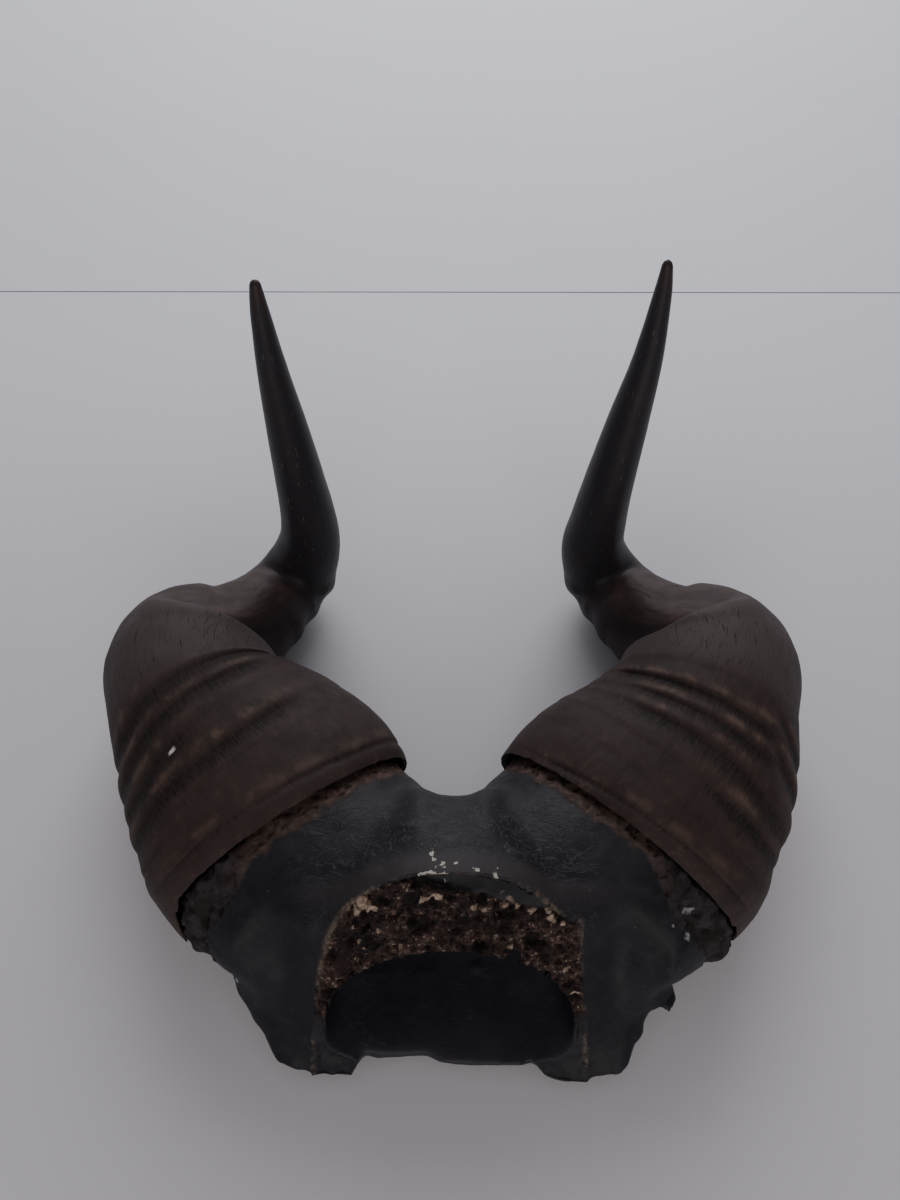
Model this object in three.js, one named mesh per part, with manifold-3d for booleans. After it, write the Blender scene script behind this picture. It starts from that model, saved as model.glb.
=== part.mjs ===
// A pair of hartebeest horns on the sawn cap of the skull, lying on its forehead.
// Three pieces: the bone cap with its two horn cores, and the left and the right horn sheath.
// Units are millimetres and +Z is up. The origin is on the ground below the middle of the object.
import * as THREE from "three";
import { mergeVertices } from "three/addons/utils/BufferGeometryUtils.js";
import Module from "manifold-3d";

const wasm = await Module();
wasm.setup();

// ---- Driving dimensions ----

// The pieces are laid out from the middle of the cap's front edge, then moved to the origin.
const MIDDLE_X = 1;
const MIDDLE_Y = 169.1;

// Clear gap between the sheaths and the bone.
const GAP = 0.6;

// Sections of a horn, rim first: centre x, y, z, half width, half height, width direction x, y, z.
// The first one lies inside the skull and only steers the curve.
const LEFT_HORN = [
  [-52, 98, 41, 63, 40, -0.73, -0.68, 0],
  [-66, 115.5, 42, 62.5, 41, -0.75, -0.66, 0],
  [-80.5, 135, 44, 63.5, 41.5, -0.77, -0.64, 0],
  [-96, 153.5, 46, 58.5, 40, -0.79, -0.61, 0],
  [-110, 170.5, 47, 50.5, 38, -0.83, -0.56, 0],
  [-121, 187, 47, 42, 37, -0.93, -0.37, 0],
  [-126.5, 204.5, 46, 40.5, 36, -0.96, 0.28, 0],
  [-125.5, 217, 42, 34.5, 33, -0.85, 0.53, 0],
  [-111, 229, 33, 27.5, 28, -0.5, 0.86, 0.1],
  [-99.5, 245, 26, 23, 24, -0.45, 0.87, 0.2],
  [-89, 260.5, 23, 20.5, 21, -0.58, 0.78, 0.3],
  [-80.5, 271, 30, 19, 19, -0.8, 0.55, 0.3],
  [-74.6, 275.5, 45, 16.5, 17, -0.95, 0.28, 0.12],
  [-72.4, 279, 62, 14.3, 15, -1, 0.05, 0],
  [-73.5, 284, 90, 12, 13.2, -1, 0, 0],
  [-75.7, 290, 122, 9.7, 10.2, -1, 0, 0],
  [-78, 296, 155, 6.7, 7, -1, 0, 0],
  [-79, 301, 183, 4.1, 4.1, -1, 0, 0],
  [-79, 303, 197, 2, 2, -1, 0, 0],
];

// The right horn is the left one mirrored, with a wider base and a tip that leans out and back.
const RIGHT_BASE = [
  [-58, 101, 41, 65, 40, -0.79, -0.61, 0],
  [-73, 118, 42, 65, 41, -0.8, -0.6, 0],
  [-88, 135, 44, 63.5, 41.5, -0.81, -0.59, 0],
  [-103, 153, 46, 58, 40, -0.82, -0.57, 0],
  [-114, 170.5, 47, 51, 38, -0.85, -0.53, 0],
  [-122, 187, 47, 44, 37, -0.93, -0.37, 0],
  [-128, 204, 46, 41, 36, -0.99, 0.1, 0],
];
const RIGHT_TIP_OUT = [1, 3.5, 5, 7, 9, 10, 10];
const RIGHT_TIP_BACK = [0, 0, 1, 3, 5, 7, 7.2];
const RIGHT_TIP_UP = [0, 0, 0, 0, 0, 1, 2.5];

// The left horn core, from inside the cap to its blunt end in the sheath, as sections like a horn's.
const CORE = [
  [-14, 78, 48, 32, 34, -0.7, -0.71, 0],
  [-33, 93, 47, 47, 37, -0.72, -0.69, 0],
  [-53, 105, 44, 57, 37, -0.74, -0.67, 0],
  [-66, 115.5, 42, 58, 36, -0.75, -0.66, 0],
  [-82, 133, 44, 52, 33, -0.77, -0.64, 0],
  [-95, 146, 45.2, 40, 27, -0.78, -0.62, 0],
  [-102, 155, 46, 24, 17, -0.79, -0.61, 0],
  [-106, 161, 46.5, 8, 6, -0.8, -0.6, 0],
];
// The right core, before it is mirrored, stands further out and is a little wider.
const RIGHT_CORE_OUT = 5;
const RIGHT_CORE_WIDER = 1.5;

// Grooves between the growth rings: place along the horn, lean to the rim on the outer side,
// half width, depth. Places count the horn's sections from the rim.
const LEFT_GROOVES = [
  [0.68, -0.1, 0.09, 1.0],
  [1.3, 0, 0.1, 0.6],
  [1.9, 0.05, 0.17, 1.5],
  [2.6, 0.25, 0.17, 1.4],
  [3.18, 0.36, 0.15, 1.6],
  [3.7, 0.35, 0.17, 1.9],
];
const RIGHT_GROOVES = [
  [0.42, -0.05, 0.09, 1.0],
  [1.5, 0, 0.14, 1.1],
  [2.08, 0.18, 0.17, 1.5],
  [2.62, 0.15, 0.16, 1.6],
  [3.06, 0.05, 0.14, 1.9],
];

// The rim of a sheath in the same places: mean, swing, angle of the highest point, dip at its outer end.
const LEFT_RIM = { mean: 0.27, swing: 0.1, peak: 65, dip: 0.4 };
const RIGHT_RIM = { mean: -0.02, swing: 0.12, peak: 45, dip: 0 };
const LIP_THIN = 1.8;
const LIP_LENGTH = 0.6;

// The socket in a sheath: how far inside the outer surface it lies at each place along the horn.
const SOCKET_START = -0.7;
const SOCKET_END = 2.75;
const SOCKET_WALL = 3.8;

// Boxes of bone along Y: y, centre z, half width, height above the centre, depth below it.
const BRAINCASE = [
  [14, 22, 52, 60, 11],
  [28, 30, 59, 70, 22],
  [45, 34, 60, 68, 31],
  [70, 35, 59, 67, 35],
  [90, 36, 57, 65, 35],
  [105, 36, 54, 57, 34],
  [120, 36, 50, 46, 31],
  [129, 36, 44, 38, 27],
  [134, 36, 28, 26, 18],
];
const BROW = [
  [18, 11, 48, 3, 2],
  [27, 11, 64, 5, 3],
  [33, 12, 73.5, 8, 7],
  [40, 13, 79.5, 10, 10],
  [47, 15, 85, 12, 12],
  [55, 17, 92.5, 13, 14],
  [63, 20, 97, 15, 15],
  [72, 25, 98.5, 19, 17],
  [80, 32, 99.5, 25, 21],
  [90, 37, 99, 29, 26],
  [100, 39, 88, 30, 30],
  [110, 40, 70, 28, 28],
  [118, 40, 45, 22, 24],
];
// Flanks that run from the cores down to the legs; they reach further out on the right.
const TEMPLE = [
  [30, 9, 62, 8, 3],
  [38, 11, 73, 16, 5],
  [46, 14, 82, 24, 8],
  [55, 18, 89, 33, 10],
  [64, 22, 95, 40, 12],
  [71, 27, 100, 42, 14],
  [77, 31, 109, 40, 17],
  [86, 34, 112, 39, 19],
  [98, 38, 98, 38, 22],
  [110, 40, 76, 34, 24],
  [118, 40, 46, 28, 22],
];
const TEMPLE_RIGHT = 3;
// Hollow of each temple beside the cut: x, place up the slope, then half width, half length, depth.
const TEMPLE_HOLLOWS = [
  [-73, 0.6, 18, 41, 9],
  [72, 0.6, 18, 41, 8],
];
const CAVITY = [
  [5, 26, 50, 38, 12],
  [30, 27, 52, 39, 14.5],
  [66, 28, 52, 40, 18.5],
  [85, 29, 47, 37, 18],
  [100, 30, 38, 30, 16],
  [110, 31, 26, 20, 12],
  [116, 31, 12, 9, 6],
];
const BOX_POWER = 2.3;

// The saw cut passes through the crest and slopes down to the table at the front.
const CREST = { y: 89, z: 100 };
const CUT_FOOT = { y: 27, z: 10 };
const CUT_SLOPE = Math.atan2(CREST.z - CUT_FOOT.z, CREST.y - CUT_FOOT.y);

// The broken front edge of the forehead between the two legs of the cut: x, y.
const FRONT_EDGE = [
  [-43, 26],
  [-37, 36],
  [-32, 34],
  [-10, 35],
  [-3, 31.5],
  [14, 31],
  [31, 31],
  [36, 32.5],
  [43, 25],
];

// Sinus holes in the cut face: x, place up the slope from 0 at the foot to 1 at the crest, radius.
const SINUSES = [
  [-31.5, 0.7, 4.5],
  [-15.4, 0.9, 3.5],
  [5.8, 0.81, 2.5],
  [25.9, 0.63, 3.5],
];

// Torn splinters at the right edge of the forehead: outline x, y, then bottom and top z.
const SPLINTERS = [
  { outline: [[88, 64], [98.5, 59], [95, 51], [86, 57]], low: 16, high: 21 },
  { outline: [[70, 48], [84, 46.5], [79, 40], [70, 30]], low: 8, high: 14 },
];

const HORN_RADIAL = 24;
const CORE_RADIAL = 24;
const BONE_RADIAL = 26;

// ---- Solids ----

// A closed geometry made of a cylinder's wall and ends, bent by place(along, angle, radius).
function bentCylinder(radial, rows, place) {
  const shape = new THREE.CylinderGeometry(1, 1, 1, radial, rows);
  shape.deleteAttribute("normal");
  shape.deleteAttribute("uv");
  const points = shape.getAttribute("position");
  for (let i = 0; i < points.count; i++) {
    const x = points.getX(i);
    const z = points.getZ(i);
    const along = 0.5 - points.getY(i);
    const bent = place(along, Math.atan2(x, z), Math.hypot(x, z));
    points.setXYZ(i, bent.x, bent.y, bent.z);
  }
  return shape;
}

function solidOf(geometry) {
  const plain = geometry.clone();
  plain.deleteAttribute("normal");
  plain.deleteAttribute("uv");
  const merged = mergeVertices(plain, 1e-3);
  const triVerts = new Uint32Array(merged.index.array);
  const vertProperties = merged.getAttribute("position").array;
  const made = new wasm.Manifold(new wasm.Mesh({ numProp: 3, vertProperties, triVerts }));
  if (made.volume() > 0) return made;
  for (let i = 0; i < triVerts.length; i += 3) {
    [triVerts[i + 1], triVerts[i + 2]] = [triVerts[i + 2], triVerts[i + 1]];
  }
  return new wasm.Manifold(new wasm.Mesh({ numProp: 3, vertProperties, triVerts }));
}

function geometryOf(solid) {
  const mesh = solid.getMesh();
  const geometry = new THREE.BufferGeometry();
  geometry.setAttribute("position", new THREE.BufferAttribute(mesh.vertProperties, 3));
  geometry.setIndex(new THREE.BufferAttribute(mesh.triVerts, 1));
  geometry.computeVertexNormals();
  return geometry;
}

function smoothCurve(points) {
  return new THREE.CatmullRomCurve3(points, false, "catmullrom", 0.5);
}

// A smooth run of elliptical sections; at(place) gives the section there, in steps of one section.
function ellipseRun(sections, firstPlace) {
  const centres = smoothCurve(sections.map((s) => new THREE.Vector3(s[0], s[1], s[2])));
  const halves = smoothCurve(sections.map((s) => new THREE.Vector3(s[3], s[4], 0)));
  const widths = smoothCurve(sections.map((s) => new THREE.Vector3(s[5], s[6], s[7])));
  const steps = sections.length - 1;
  const step = 1e-4;
  return function at(place) {
    const t = THREE.MathUtils.clamp((place - firstPlace) / steps, 0, 1);
    const ahead = centres.getPoint(Math.min(t + step, 1));
    const behind = centres.getPoint(Math.max(t - step, 0));
    const along = ahead.sub(behind).normalize();
    const wide = widths.getPoint(t);
    wide.addScaledVector(along, -wide.dot(along)).normalize();
    const high = new THREE.Vector3().crossVectors(along, wide);
    const half = halves.getPoint(t);
    return { centre: centres.getPoint(t), wide, high, halfWidth: half.x, halfHeight: half.y };
  };
}

// A point of a section at an angle from its width direction, moved in by inset.
function onSection(section, angle, inset) {
  const across = Math.max(section.halfWidth - inset, 0.5) * Math.cos(angle);
  const up = Math.max(section.halfHeight - inset, 0.5) * Math.sin(angle);
  return section.centre.clone().addScaledVector(section.wide, across).addScaledVector(section.high, up);
}

function towards(centre, point, share) {
  return centre.clone().lerp(point, share);
}

// ---- Horn sheaths ----

// Rows close together over the rings, wider apart beyond them.
function hornRows() {
  const rows = [];
  for (let s = 0; s < 4.2; s += 0.16) rows.push(s);
  for (let s = 4.4; s < 8; s += 0.4) rows.push(s);
  for (let s = 8.3; s < LEFT_HORN.length - 2.5; s += 0.7) rows.push(s);
  rows.push(LEFT_HORN.length - 2);
  return rows;
}

// Rings are strongest on the outer side and fade towards the inner side.
function ringStrength(angle) {
  return 0.55 + 0.45 * Math.cos(angle - THREE.MathUtils.degToRad(30));
}

function grooveDepth(grooves, place, angle) {
  const fromTop = Math.PI / 2 - Math.abs(angle);
  const outward = THREE.MathUtils.clamp(fromTop / THREE.MathUtils.degToRad(60), 0, 1);
  let depth = 0;
  for (const [at, lean, half, deep] of grooves) {
    const off = (place - at + lean * outward * outward) / half;
    depth += deep * Math.exp(-off * off);
  }
  return depth * ringStrength(angle);
}

function rimPlace(rim, angle) {
  const peak = THREE.MathUtils.degToRad(rim.peak);
  const dip = rim.dip * Math.exp(-((angle / 0.35) ** 2));
  return rim.mean + rim.swing * Math.cos(angle - peak) - dip;
}

function hornSurface(at, grooves, rim, grow) {
  const rows = hornRows();
  return bentCylinder(HORN_RADIAL, rows.length - 1, (along, angle, radius) => {
    const row = rows[Math.round(along * (rows.length - 1))];
    const fromRim = THREE.MathUtils.clamp(1 - row / 1.2, 0, 1);
    const place = row + (rimPlace(rim, angle) - grow * 0.03) * fromRim;
    const lip = LIP_THIN * THREE.MathUtils.clamp(1 - row / LIP_LENGTH, 0, 1) ** 2;
    const inset = grooveDepth(grooves, place, angle) + lip - grow;
    const section = at(place);
    return towards(section.centre, onSection(section, angle, inset), radius);
  });
}

// Wall of the socket: thin at the rim, closing to a blunt end.
function socketSurface(at) {
  const rows = 10;
  return bentCylinder(HORN_RADIAL, rows, (along, angle, radius) => {
    const place = THREE.MathUtils.lerp(SOCKET_START, SOCKET_END, along);
    const deep = THREE.MathUtils.clamp((place - 0.3) / (SOCKET_END - 0.3), 0, 1);
    const section = at(place);
    const taper = Math.sqrt(1 - deep ** 2.4 * 0.995);
    section.halfWidth *= taper;
    section.halfHeight *= taper;
    const inset = SOCKET_WALL * taper + 3 * deep * (1 - deep);
    return towards(section.centre, onSection(section, angle, inset), radius);
  });
}

function coreSurface(sections, grow) {
  const at = ellipseRun(sections, 0);
  const rows = 12;
  const last = CORE.length - 1;
  return bentCylinder(CORE_RADIAL, rows, (along, angle, radius) => {
    const section = at(along * last);
    return towards(section.centre, onSection(section, angle, -grow), radius);
  });
}

function rightHornSections() {
  const sections = LEFT_HORN.map((section) => [...section]);
  RIGHT_BASE.forEach((section, i) => {
    sections[i] = section;
  });
  const first = sections.length - RIGHT_TIP_OUT.length;
  RIGHT_TIP_OUT.forEach((out, i) => {
    sections[first + i][0] -= out;
    sections[first + i][1] += RIGHT_TIP_BACK[i];
    sections[first + i][2] += RIGHT_TIP_UP[i];
  });
  return sections;
}

function mirrored(solid) {
  return solid.mirror([1, 0, 0]);
}

const RIGHT_CORE = CORE.map(([x, y, z, wide, high, ...rest]) => {
  return [x - RIGHT_CORE_OUT, y, z, wide + RIGHT_CORE_WIDER, high, ...rest];
});

function sheath(sections, core, grooves, rim) {
  const at = ellipseRun(sections, -1);
  const outer = solidOf(hornSurface(at, grooves, rim, 0));
  const room = solidOf(hornSurface(at, grooves, rim, GAP));
  const socket = solidOf(socketSurface(at));
  const coreRoom = solidOf(coreSurface(core, GAP));
  return { body: outer.subtract(socket).subtract(coreRoom), room };
}

const left = sheath(LEFT_HORN, CORE, LEFT_GROOVES, LEFT_RIM);
const right = sheath(rightHornSections(), RIGHT_CORE, RIGHT_GROOVES, RIGHT_RIM);

// ---- Skull cap ----

// A run of rounded boxes along Y.
function boxRun(sections, rows) {
  const heights = smoothCurve(sections.map((s) => new THREE.Vector3(s[0], s[1], 0)));
  const sizes = smoothCurve(sections.map((s) => new THREE.Vector3(s[2], s[3], s[4])));
  const rounded = (value) => Math.sign(value) * Math.abs(value) ** (2 / BOX_POWER);
  return bentCylinder(BONE_RADIAL, rows, (along, angle, radius) => {
    const middle = heights.getPoint(along);
    const size = sizes.getPoint(along);
    const up = rounded(Math.sin(angle));
    const x = size.x * rounded(Math.cos(angle));
    const z = (up > 0 ? size.y : size.z) * up;
    return new THREE.Vector3(x * radius, middle.x, middle.y + z * radius);
  });
}

// A flat slab standing on the cut plane, covering all that was sawn away.
function sawnAway() {
  const slab = new THREE.BoxGeometry(400, 400, 200);
  slab.translate(0, 0, 100);
  slab.rotateX(CUT_SLOPE);
  slab.translate(0, CUT_FOOT.y, CUT_FOOT.z);
  return solidOf(slab);
}

function brokenFront() {
  const outline = new THREE.Shape();
  outline.moveTo(FRONT_EDGE[0][0], -20);
  FRONT_EDGE.forEach(([x, y]) => outline.lineTo(x, y));
  outline.lineTo(FRONT_EDGE.at(-1)[0], -20);
  const cut = new THREE.ExtrudeGeometry(outline, { depth: 80, bevelEnabled: false });
  cut.translate(0, 0, -20);
  return solidOf(cut);
}

// A round hollow in the cut plane: half width across, half length up the slope, depth.
function hollow([x, share, wide, long, deep], segments) {
  const scoop = new THREE.SphereGeometry(1, segments, Math.round(segments * 0.75));
  scoop.scale(wide, long, deep);
  scoop.rotateX(CUT_SLOPE);
  const y = THREE.MathUtils.lerp(CUT_FOOT.y, CREST.y, share);
  const z = THREE.MathUtils.lerp(CUT_FOOT.z, CREST.z, share);
  scoop.translate(x, y, z);
  return solidOf(scoop);
}

function splinter({ outline, low, high }) {
  const shape = new THREE.Shape(outline.map(([x, y]) => new THREE.Vector2(x, y)));
  const chip = new THREE.ExtrudeGeometry(shape, { depth: high - low, bevelEnabled: false });
  chip.translate(0, 0, low);
  return solidOf(chip);
}

function skullCap() {
  let bone = solidOf(boxRun(BRAINCASE, 14)).add(solidOf(boxRun(BROW, 16)));
  bone = bone.add(solidOf(boxRun(TEMPLE, 14)).translate([TEMPLE_RIGHT, 0, 0]));
  for (const piece of SPLINTERS) bone = bone.add(splinter(piece));
  bone = bone.subtract(left.room).subtract(mirrored(right.room));
  bone = bone.add(solidOf(coreSurface(CORE, 0))).add(mirrored(solidOf(coreSurface(RIGHT_CORE, 0))));
  bone = bone.subtract(solidOf(boxRun(CAVITY, 10)));
  bone = bone.subtract(sawnAway()).subtract(brokenFront());
  for (const scoop of TEMPLE_HOLLOWS) bone = bone.subtract(hollow(scoop, 16));
  for (const [x, share, radius] of SINUSES) {
    bone = bone.subtract(hollow([x, share, radius, radius, 1.3 * radius], 9));
  }
  return bone;
}

// ---- Scene ----

function piece(name, solid, colour, roughness) {
  const material = new THREE.MeshStandardMaterial({ color: colour, roughness, metalness: 0 });
  const mesh = new THREE.Mesh(geometryOf(solid), material);
  mesh.name = name;
  return mesh;
}

const horns = new THREE.Group();
horns.add(piece("skull_cap", skullCap(), "#2b2b2f", 0.6));
horns.add(piece("horn_sheath_left", left.body, "#332a28", 0.45));
horns.add(piece("horn_sheath_right", mirrored(right.body), "#332a28", 0.45));
horns.position.set(-MIDDLE_X, -MIDDLE_Y, 0);

export default horns;
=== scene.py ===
"""Hartebeest horns on a sawn skull cap: two ringed sheaths, the painted bone and a plain pale stage."""

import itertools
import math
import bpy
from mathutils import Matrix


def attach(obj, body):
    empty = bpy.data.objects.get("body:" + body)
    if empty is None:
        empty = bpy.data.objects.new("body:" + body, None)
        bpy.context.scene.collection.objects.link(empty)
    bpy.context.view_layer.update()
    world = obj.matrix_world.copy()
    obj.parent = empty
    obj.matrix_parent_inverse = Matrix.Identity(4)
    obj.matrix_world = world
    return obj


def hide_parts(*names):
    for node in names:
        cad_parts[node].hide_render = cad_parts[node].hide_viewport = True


bl_info = {
    "name": "Hartebeest horns",
    "version": (1, 0, 0),
    "blender": (4, 5, 0),
    "location": "View3D > Sidebar > Horns",
    "description": "Builds a pair of ringed horns on a sawn, painted skull cap",
    "category": "Object",
}

import bmesh
import bpy
import numpy as np
from mathutils import Vector

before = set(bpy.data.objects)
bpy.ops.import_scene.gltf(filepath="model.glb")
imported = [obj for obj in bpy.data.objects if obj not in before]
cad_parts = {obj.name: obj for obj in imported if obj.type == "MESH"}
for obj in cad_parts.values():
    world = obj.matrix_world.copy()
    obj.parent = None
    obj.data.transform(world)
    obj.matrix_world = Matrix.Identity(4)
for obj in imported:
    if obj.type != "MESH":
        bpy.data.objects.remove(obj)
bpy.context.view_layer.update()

# The sections below are in millimetres from the middle of the cap's front edge.
MIDDLE = np.array([1.0, 169.1, 0.0])

# Sections of a horn, rim first: centre x, y, z, half width, half height, width direction x, y, z.
# The first one lies inside the skull and only steers the curve.
LEFT_HORN = [
    [-52, 98, 41, 63, 40, -0.73, -0.68, 0],
    [-66, 115.5, 42, 62.5, 41, -0.75, -0.66, 0],
    [-80.5, 135, 44, 63.5, 41.5, -0.77, -0.64, 0],
    [-96, 153.5, 46, 58.5, 40, -0.79, -0.61, 0],
    [-110, 170.5, 47, 50.5, 38, -0.83, -0.56, 0],
    [-121, 187, 47, 42, 37, -0.93, -0.37, 0],
    [-126.5, 204.5, 46, 40.5, 36, -0.96, 0.28, 0],
    [-125.5, 217, 42, 34.5, 33, -0.85, 0.53, 0],
    [-111, 229, 33, 27.5, 28, -0.5, 0.86, 0.1],
    [-99.5, 245, 26, 23, 24, -0.45, 0.87, 0.2],
    [-89, 260.5, 23, 20.5, 21, -0.58, 0.78, 0.3],
    [-80.5, 271, 30, 19, 19, -0.8, 0.55, 0.3],
    [-74.6, 275.5, 45, 16.5, 17, -0.95, 0.28, 0.12],
    [-72.4, 279, 62, 14.3, 15, -1, 0.05, 0],
    [-73.5, 284, 90, 12, 13.2, -1, 0, 0],
    [-75.7, 290, 122, 9.7, 10.2, -1, 0, 0],
    [-78, 296, 155, 6.7, 7, -1, 0, 0],
    [-79, 301, 183, 4.1, 4.1, -1, 0, 0],
    [-79, 303.5, 198, 2, 2, -1, 0, 0],
]

# The right horn is the left one mirrored, with a wider base and a tip that leans out and back.
RIGHT_BASE = [
    [-58, 101, 41, 65, 40, -0.79, -0.61, 0],
    [-73, 118, 42, 65, 41, -0.8, -0.6, 0],
    [-88, 135, 44, 63.5, 41.5, -0.81, -0.59, 0],
    [-103, 153, 46, 58, 40, -0.82, -0.57, 0],
    [-114, 170.5, 47, 51, 38, -0.85, -0.53, 0],
    [-122, 187, 47, 44, 37, -0.93, -0.37, 0],
    [-128, 204, 46, 41, 36, -0.99, 0.1, 0],
]
RIGHT_TIP_OUT = [1, 3.5, 5, 7, 9, 9.6, 9.3]
RIGHT_TIP_BACK = [0, 0, 1, 3, 5, 7, 7.8]
RIGHT_TIP_UP = [0, 0, 0, 0, 0, 1, 3.4]

# Growth grooves: place along the horn at 30, 60, 90 and 130 degrees round it,
# half width, depth in millimetres, first and last angle where the groove is at full strength.
LEFT_GROOVES = [
    (0.74, 0.80, 0.73, 0.61, 0.07, 0.55, 30, 200),
    (1.33, 1.38, 1.45, 1.5, 0.08, 0.5, -70, 48),
    (1.56, 1.58, 1.60, 1.60, 0.09, 0.3, 10, 100),
    (1.83, 1.97, 1.92, 1.95, 0.18, 1.2, -80, 120),
    (2.32, 2.50, 2.65, 2.65, 0.20, 1.1, -80, 72),
    (2.80, 3.10, 3.20, 3.20, 0.19, 1.3, -80, 130),
    (3.35, 3.65, 3.72, 3.78, 0.22, 1.7, -80, 160),
]
RIGHT_GROOVES = [
    (0.50, 0.48, 0.36, 0.12, 0.07, 0.6, 25, 125),
    (0.95, 0.95, 0.95, 0.95, 0.10, 0.5, 26, 48),
    (1.50, 1.52, 1.50, 1.50, 0.15, 1.2, -80, 70),
    (1.88, 2.03, 2.10, 2.10, 0.19, 1.5, -80, 115),
    (2.55, 3.05, 3.05, 3.05, 0.18, 1.4, -80, 46),
    (2.52, 2.57, 2.62, 2.58, 0.15, 1.4, 52, 120),
    (3.15, 3.70, 3.70, 3.70, 0.18, 1.3, -80, 44),
    (3.06, 3.07, 3.07, 3.04, 0.15, 1.6, 50, 140),
]
GROOVE_ANGLES = (30, 60, 90, 130)

# The rim of a sheath along the horn: mean, swing, angle of the highest point, dip at its outer end.
LEFT_RIM = (0.27, 0.10, 65, 0.4)
RIGHT_RIM = (-0.02, 0.12, 45, 0.0)

# The saw cut: a plane through the crest that slopes down to the feet of its two legs.
CREST = np.array([0.0, 89.0, 100.0])
CUT_FOOT = np.array([0.0, 27.0, 10.0])
CUT_UP = (CREST - CUT_FOOT) / np.linalg.norm(CREST - CUT_FOOT)
CUT_OUT = np.array([0.0, -CUT_UP[2], CUT_UP[1]])


# ---- Numbers ----


def ramp(x, low, high):
    """0 below low, 1 above high, with a smooth rise between."""
    t = np.clip((x - low) / (high - low), 0, 1)
    return t * t * (3 - 2 * t)


def hump(x, middle, half):
    """1 at the middle, falling off smoothly over half."""
    return np.exp(-(((x - middle) / half) ** 2))


def noise(points, cell, seed):
    """Smooth random values from -1 to 1 at each point, with one value per cell."""
    place = points / cell + 31.7 * seed
    corner = np.floor(place).astype(np.int64)
    share = place - corner
    share = share * share * (3 - 2 * share)
    total = np.zeros(len(points))
    for step in itertools.product((0, 1), repeat=3):
        at = corner + step
        mixed = at[:, 0] * 73856093 ^ at[:, 1] * 19349663 ^ at[:, 2] * 83492791 ^ seed * 2654435
        mixed = (mixed ^ (mixed >> 13)) * 1274126177 & 0x7FFFFFFF
        value = ((mixed ^ (mixed >> 16)) & 0xFFFF) / 32767.5 - 1
        weight = np.prod(np.where(np.array(step) == 1, share, 1 - share), axis=1)
        total += value * weight
    return total


def spline(points, places):
    """Catmull-Rom curve through evenly spaced points, read at places counted in points."""
    points = np.asarray(points, float)
    last = len(points) - 1
    places = np.clip(places, 0, last)
    index = np.minimum(places.astype(int), last - 1)
    w = (places - index)[..., None]
    padded = np.vstack([2 * points[0] - points[1], points, 2 * points[-1] - points[-2]])
    before, start, end, after = (padded[index + k] for k in range(4))
    slope_in = 0.5 * (end - before)
    slope_out = 0.5 * (after - start)
    square = -3 * start + 3 * end - 2 * slope_in - slope_out
    cube = 2 * start - 2 * end + slope_in + slope_out
    return start + slope_in * w + square * w**2 + cube * w**3


# ---- Meshes ----


def new_object(name, mesh):
    """An object for a mesh, linked into the scene, shaded smooth."""
    made = bpy.data.objects.new(name, mesh)
    bpy.context.scene.collection.objects.link(made)
    mesh.shade_smooth()
    return made


def vertices_of(mesh):
    """The mesh's vertex places, one row each."""
    places = np.zeros(len(mesh.vertices) * 3, np.float32)
    mesh.vertices.foreach_get("co", places)
    return places.reshape(-1, 3).astype(float)


def normals_of(mesh):
    """The mesh's vertex normals, one row each."""
    normals = np.zeros(len(mesh.vertices) * 3, np.float32)
    mesh.vertex_normals.foreach_get("vector", normals)
    return normals.reshape(-1, 3).astype(float)


def move_vertices(mesh, places):
    """Puts the mesh's vertices at places."""
    mesh.vertices.foreach_set("co", np.asarray(places, np.float32).ravel())
    mesh.update()


def store(mesh, name, values, kind="FLOAT"):
    """Keeps one number or one vector per vertex under a name that a material can read."""
    field = "value" if kind == "FLOAT" else "vector"
    layer = mesh.attributes.new(name, kind, "POINT")
    layer.data.foreach_set(field, np.asarray(values, np.float32).ravel())


def kept(mesh, name):
    """The numbers that store kept under a name."""
    values = np.zeros(len(mesh.vertices), np.float32)
    mesh.attributes[name].data.foreach_get("value", values)
    return values.astype(float)


def neighbour_average(mesh):
    """A function that averages rows of numbers over each vertex's neighbours."""
    edges = np.zeros(len(mesh.edges) * 2, np.int32)
    mesh.edges.foreach_get("vertices", edges)
    first, second = edges.reshape(-1, 2).T
    here = np.concatenate([first, second])
    there = np.concatenate([second, first])
    count = np.maximum(np.bincount(here, minlength=len(mesh.vertices)), 1)[:, None]

    def average(rows):
        columns = [np.bincount(here, weights=column[there], minlength=len(rows)) for column in rows.T]
        return np.stack(columns, axis=1) / count

    return average


def closed_tube(name, surface):
    """A closed mesh from a grid of points that runs from one pole to the other and round the piece."""
    rows, radial, _ = surface.shape
    mesh = bpy.data.meshes.new(name)
    grid = bmesh.new()
    bmesh.ops.create_grid(grid, x_segments=radial, y_segments=rows - 1, size=1.0)
    grid.to_mesh(mesh)
    grid.free()
    flat = vertices_of(mesh)
    across = np.rint((flat[:, 0] + 1) / 2 * radial).astype(int) % radial
    along = np.rint((flat[:, 1] + 1) / 2 * (rows - 1)).astype(int)
    move_vertices(mesh, surface[along, across])
    return mesh, along, across


def close_seams(mesh):
    """Merges the grid's meeting edges and its two poles, and points the faces outwards."""
    shell = bmesh.new()
    shell.from_mesh(mesh)
    bmesh.ops.remove_doubles(shell, verts=shell.verts, dist=1e-6)
    bmesh.ops.recalc_face_normals(shell, faces=shell.faces)
    shell.to_mesh(mesh)
    shell.free()


# ---- Materials ----


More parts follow.
